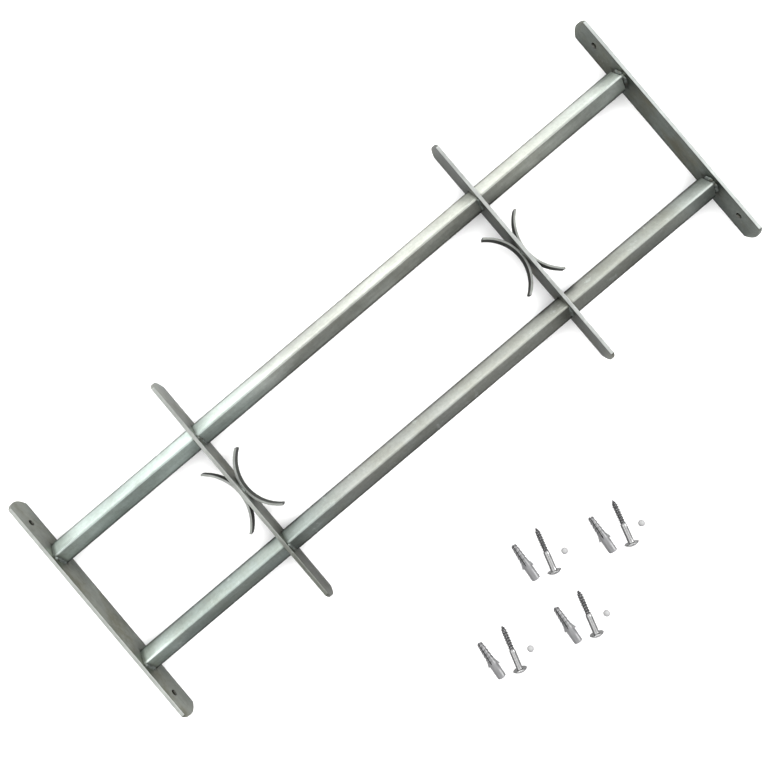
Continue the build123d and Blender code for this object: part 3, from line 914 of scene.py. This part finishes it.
def plug_wing(side):
    """A thin wing that leans back from the plug's wall, as a closed wedge."""
    low = plug_radius(WING_FROM) - TOOTH_STEP
    corner_in, corner_back = WING_TAPER
    top = PLUG_RADIUS + WING_HEIGHT
    end = WING_FROM + WING_LENGTH
    outline = [
        (low, WING_FROM),
        (top - corner_in, end - corner_back),
        (top, end),
        (PLUG_RADIUS - WING_ROOT, end),
    ]
    verts = []
    for share in WING_SHARES:
        inset = WING_EASE if abs(share) == 1 else 0.0
        for place, (reach, station) in enumerate(outline):
            drop = inset if place in (1, 2) else 0.0
            verts.append(Vector((side * (reach - drop), share * WING_WIDTH / 2, station)))
    count = len(outline)
    faces = []
    sections = len(WING_SHARES)
    for ring in range(sections - 1):
        for step in range(count):
            a = ring * count + step
            b = ring * count + (step + 1) % count
            faces.append((a, b, b + count, a + count))
    faces.append(tuple(reversed(range(count))))
    faces.append(tuple(range((sections - 1) * count, sections * count)))
    if side < 0:
        faces = [tuple(reversed(f)) for f in faces]
    return verts, faces


def plug_mesh(material):
    """A split expansion plug along +Z from its tip, with its wings along X."""
    verts, faces = [], []
    for make in (plug_half, plug_wing):
        for side in (1, -1):
            more_verts, more_faces = make(side)
            faces += [tuple(len(verts) + v for v in face) for face in more_faces]
            verts += more_verts
    mesh = bpy.data.meshes.new("wall_plug")
    mesh.from_pydata([tuple(v) for v in verts], [], faces)
    mesh.materials.append(material)
    weld_seams(mesh)
    mesh.shade_smooth()
    mesh.set_sharp_from_angle(angle=PLUG_SMOOTH)
    return mesh


def weld_seams(mesh):
    """Joins vertices that lie on each other and turns the faces outwards."""
    work = bmesh.new()
    work.from_mesh(mesh)
    bmesh.ops.remove_doubles(work, verts=work.verts, dist=SEAM)
    bmesh.ops.recalc_face_normals(work, faces=work.faces)
    work.to_mesh(mesh)
    work.free()
    mesh.validate()


# ------------------------------------------------------------------ the object

upper_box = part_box("upper_outer_tube")
tube_half = (upper_box[1].z - upper_box[0].z) / 2
# Grime and painted shade around the tubes on the flats: the bars' middle Y, near and far reach, and share.
JOINTS = ((upper_box[0].y + upper_box[1].y) / 2, tube_half + 0.5 * MM, tube_half + 5.0 * MM, 0.6)
CROSSPIECES = ("left_crosspiece", "right_crosspiece")
CROSS_MIDDLES = [sum(corner.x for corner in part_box(flat)) / 2 for flat in CROSSPIECES]
COLLARS = (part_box("left_end_plate")[1].x, *CROSS_MIDDLES)
TUBE_FINISH = {"stain": 0.25, "bloom": 0.35, "edge": 0.9 * MM, "fresh": PAINTED_END_LIGHT, **ALONG_X}
FLAT_FINISH = {
    "stain": 0.8,
    "bloom": 0.30,
    "edge": 0.8 * MM,
    "wear": (0.38, 0.40, 0.38),
    "across": (REAR_DARKENING,),
    **ALONG_Y,
}
BOW_FINISH = {
    "stain": 0.1,
    "bloom": 0.05,
    "edge": 0.5 * MM,
    "wear": (0.42, 0.44, 0.42),
    "across": (),
    "grazing": 0.45,
    **ROUND_Z,
}
# Painted highlights on the narrow front edges of the flats and bows.
LEFT_FRONT_HIGHLIGHT = (0.24, 0.25, 0.235)
CROSS_FRONT_HIGHLIGHT = (0.28, 0.29, 0.28)
RIGHT_FRONT_HIGHLIGHT = (0.27, 0.285, 0.275)
FRONT_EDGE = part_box("left_end_plate")[1].z - 0.6 * MM
BOW_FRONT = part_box("left_inboard_bow")[1].z - 0.3 * MM
LEFT_TARNISH = (-0.01, -0.09, 0.7)
wall_holes = next(m for m in frame["record"]["mounts"] if m["name"] == "left_wall_holes")
hole_dims = wall_holes["dims"]
HOLE_PLACES = (hole_dims["spacing_x_mm"] / 2 * MM, wall_holes["pos_m"][2], hole_dims["hole_r_mm"] * MM)
LEFT_HOLES = (*HOLE_PLACES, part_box("left_end_plate")[1].x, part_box("left_end_plate")[0].x)
RIGHT_HOLES = (*HOLE_PLACES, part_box("right_end_plate")[0].x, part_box("right_end_plate")[1].x)


def joints_of(flat, unshaded_side=None):
    """The grime and painted shade around the tubes on a flat: on its faces, or on all but the face at its
    unshaded side.
    """
    low, high = (corner.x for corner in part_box(flat))
    if unshaded_side == "low":
        return (*JOINTS, low, high)
    if unshaded_side == "high":
        return (*JOINTS, high, low)
    return (*JOINTS, low - MM, low)


UPPER_LOOK = {
    "tints": shaded(TUBE_TINTS, UPPER_PAINTED_LIGHT),
    "wear": (0.22, 0.24, 0.23),
    "across": (SIDE_PAINTED_SHADE, RIDGE_PAINTED_LIGHT, UPPER_RIDGE_PAINTED_SHADE),
    **TUBE_FINISH,
}
LOWER_LOOK = {
    "tints": shaded(TUBE_TINTS, LOWER_PAINTED_SHADE),
    "wear": (0.30, 0.32, 0.31),
    "across": (SIDE_PAINTED_SHADE, RIDGE_PAINTED_LIGHT),
    **TUBE_FINISH,
}
materials = {
    "upper": zinc("upper_tube_zinc", collars=COLLARS, **UPPER_LOOK),
    "lower": zinc("lower_tube_zinc", collars=COLLARS, **LOWER_LOOK),
    "upper_inner": zinc("upper_inner_tube_zinc", **UPPER_LOOK),
    "lower_inner": zinc("lower_inner_tube_zinc", **LOWER_LOOK),
    "left_plate": zinc("left_plate_zinc", FLAT_TINTS, front=(FRONT_EDGE, LEFT_FRONT_HIGHLIGHT),
                       holes=LEFT_HOLES, joints=joints_of("left_end_plate", "low"), **FLAT_FINISH),
    "right_plate": zinc("right_plate_zinc", FLAT_TINTS, front=(FRONT_EDGE, RIGHT_FRONT_HIGHLIGHT),
                        holes=RIGHT_HOLES, joints=joints_of("right_end_plate", "high"), **FLAT_FINISH),
    "left_cross": zinc("left_crosspiece_zinc", FLAT_TINTS, front=(FRONT_EDGE, LEFT_FRONT_HIGHLIGHT),
                       tarnish=LEFT_TARNISH, joints=joints_of("left_crosspiece"), **FLAT_FINISH),
    "right_cross": zinc("right_crosspiece_zinc", FLAT_TINTS, front=(FRONT_EDGE, CROSS_FRONT_HIGHLIGHT),
                        joints=joints_of("right_crosspiece"), **FLAT_FINISH),
    "bow": zinc("bow_zinc", shaded(FLAT_TINTS, BOW_PAINTED_SHADE), front=(BOW_FRONT, LEFT_FRONT_HIGHLIGHT), **BOW_FINISH),
    "weld": weld_zinc(),
    "screw": screw_steel(),
    "plug": plug_nylon(),
    "ball": ball_steel(),
}

KEPT = {
    "upper_outer_tube": "upper",
    "lower_outer_tube": "lower",
    "upper_inner_tube": "upper_inner",
    "lower_inner_tube": "lower_inner",
    "left_end_plate": "left_plate",
    "right_end_plate": "right_plate",
    "left_crosspiece": "left_cross",
    "right_crosspiece": "right_cross",
    "*_bow": "bow",
    "locking_ball_*": "ball",
}
for pattern, kind in KEPT.items():
    for node in fnmatch.filter(frame["nodes"], pattern):
        for slot in frame["nodes"][node].material_slots:
            slot.material = materials[kind]

OUTER_TUBES = ("upper_outer_tube", "lower_outer_tube")
INNER_TUBES = ("upper_inner_tube", "lower_inner_tube")
TWO_SIDES = (LOWER_FRONT, UPPER_REAR)
ALL_SIDES = (UPPER_FRONT, LOWER_FRONT, LOWER_REAR, UPPER_REAR)

left_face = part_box("left_end_plate")[1].x
corners = tube_corners(left_face, 1, OUTER_TUBES, TWO_SIDES)
build_beads("left_plate_beads", "left_plate_welds", corners, **TUBE_BEAD, material=materials["weld"])
right_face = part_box("right_end_plate")[0].x
corners = tube_corners(right_face, -1, INNER_TUBES, ALL_SIDES)
build_beads("right_plate_beads", "right_plate_welds", corners, **SLIDE_BEAD, material=materials["weld"])
for place, inboard in (("left", 1), ("right", -1)):
    low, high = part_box(f"{place}_crosspiece")
    face = high.x if inboard > 0 else low.x
    corners = tube_corners(face, inboard, OUTER_TUBES, TWO_SIDES)
    node = f"{place}_crosspiece_welds"
    build_beads(f"{place}_crosspiece_beads", node, corners, **TUBE_BEAD, material=materials["weld"])
    corners = bow_corners(f"{place}_crosspiece", f"{place}_inboard_bow")
    node = f"{place}_bow_welds"
    build_beads(f"{place}_bow_beads", node, corners, **BOW_BEAD, material=materials["weld"])

floor_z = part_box("left_end_plate")[0].z
screw = screw_mesh(materials["screw"])
plug = plug_mesh(materials["plug"])

# A screw lies on its head's rim and its tip.
screw_tilt = math.atan2(HEAD_RADIUS - SHANK_RADIUS, SCREW_LENGTH - POINT_LENGTH)
heading = Vector((math.cos(SCREW_TURN), math.sin(SCREW_TURN), 0))
to_tip = -heading * math.cos(screw_tilt) + Vector((0, 0, -math.sin(screw_tilt)))
level = Vector((-heading.y, heading.x, 0))
screw_turn = Matrix((level, to_tip.cross(level), to_tip)).transposed().to_4x4()
reach = (SCREW_LENGTH + HEAD_HEIGHT) * math.cos(screw_tilt) - HEAD_HEIGHT
head_z = floor_z + HEAD_RADIUS * math.cos(screw_tilt)

# A plug lies on its side, rolled a little from having its wings level.
along = Vector((math.cos(PLUG_TURN), math.sin(PLUG_TURN), 0))
up = Vector((0, 0, 1)) * math.cos(PLUG_ROLL) + Vector((along.y, -along.x, 0)) * math.sin(PLUG_ROLL)
across = up.cross(along)
plug_turn = Matrix((across, along.cross(across), along)).transposed().to_4x4()

for number in range(1, KIT_SETS + 1):
    low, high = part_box(f"locking_ball_{number}")
    ball = (low + high) / 2

    tip = Vector((ball.x + SCREW_FROM_BALL[0], ball.y + SCREW_FROM_BALL[1], 0))
    under_head = tip + heading * reach
    under_head.z = head_z
    placing = Matrix.Translation(under_head) @ screw_turn
    piece = place_piece(f"screw_{number}", screw, "fixing_kit", placing)
    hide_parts(f"wall_screw_{number}")

    tip = Vector((ball.x + PLUG_FROM_BALL[0], ball.y + PLUG_FROM_BALL[1], floor_z + PLUG_RADIUS))
    placing = Matrix.Translation(tip) @ plug_turn
    piece = place_piece(f"plug_{number}", plug, "fixing_kit", placing)
    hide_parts(f"wall_plug_{number}")


# ------------------------------------------------------- floor, light and camera

floor_mesh = bpy.data.meshes.new("floor")
half = FLOOR_SIZE / 2
centre = (cad_box[0] + cad_box[1]) / 2
CORNERS = ((-1, -1), (1, -1), (1, 1), (-1, 1))
square = [(centre.x + x * half, centre.y + y * half, floor_z) for x, y in CORNERS]
floor_mesh.from_pydata(square, [], [(0, 1, 2, 3)])
floor_mesh.materials.append(floor_paint())
floor = bpy.data.objects.new("floor", floor_mesh)
bpy.context.scene.collection.objects.link(floor)

world = bpy.data.worlds.new("studio")
bpy.context.scene.world = world
world.use_nodes = True
tree = world.node_tree
direction = add_node(tree, "ShaderNodeTexCoord").outputs["Generated"]
parts = split(tree, direction)
overhead = remap(tree, parts["Z"], *SKY_RISE, SKY_AMBIENT, SKY_OVERHEAD)
towards = math_of(tree, "POWER", math_of(tree, "MAXIMUM", parts["Y"], 0.0), SKY_SPREAD)
side_light = math_of(tree, "MULTIPLY", towards, remap(tree, parts["Z"], 0.0, 1.0, SKY_SIDE, 0.0))
top_shade = remap(tree, parts["Z"], *SKY_TOP, 1.0, SKY_TOP_SHADE)
strength = math_of(tree, "ADD", math_of(tree, "MULTIPLY", overhead, top_shade), side_light)
seen = add_node(tree, "ShaderNodeLightPath").outputs["Is Camera Ray"]
lit = add_node(tree, "ShaderNodeBackground", {"Color": (1, 1, 1, 1), "Strength": strength}).outputs[0]
plain = add_node(tree, "ShaderNodeBackground", {"Color": BACKDROP, "Strength": 1.0}).outputs[0]
mixed = add_node(tree, "ShaderNodeMixShader", {0: seen, 1: lit, 2: plain}).outputs[0]
tree.links.new(mixed, tree.nodes["World Output"].inputs["Surface"])

low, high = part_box("left_end_plate")[0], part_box("right_end_plate")[1]
middle = (low + high) / 2
lamp_data = bpy.data.lights.new("side_softbox", "AREA")
lamp_data.shape = "SQUARE"
lamp_data.size = SIDE_LAMP["size"]
lamp_data.energy = SIDE_LAMP["power"]
lamp = bpy.data.objects.new("side_softbox", lamp_data)
bpy.context.scene.collection.objects.link(lamp)
lamp.location = middle + Vector(SIDE_LAMP["at"])
lamp.rotation_euler = (lamp.location - middle).to_track_quat("Z", "Y").to_euler()

camera_data = bpy.data.cameras.new("camera")
camera_data.lens = CAMERA_LENS
camera_data.sensor_width = CAMERA_SENSOR
camera_data.clip_start = CAMERA_NEAREST
camera = bpy.data.objects.new("camera", camera_data)
bpy.context.scene.collection.objects.link(camera)
tilt = Euler((CAMERA_TILT[0], 0, 0)).to_matrix() @ Euler((0, CAMERA_TILT[1], 0)).to_matrix()
roll = Euler((0, 0, CAMERA_ROLL)).to_matrix()
above = middle + Vector((*CAMERA_OFFSET, CAMERA_HEIGHT))
camera.matrix_world = Matrix.Translation(above) @ (tilt @ roll).to_4x4()
bpy.context.scene.camera = camera
bpy.context.scene.view_settings.view_transform = "Standard"
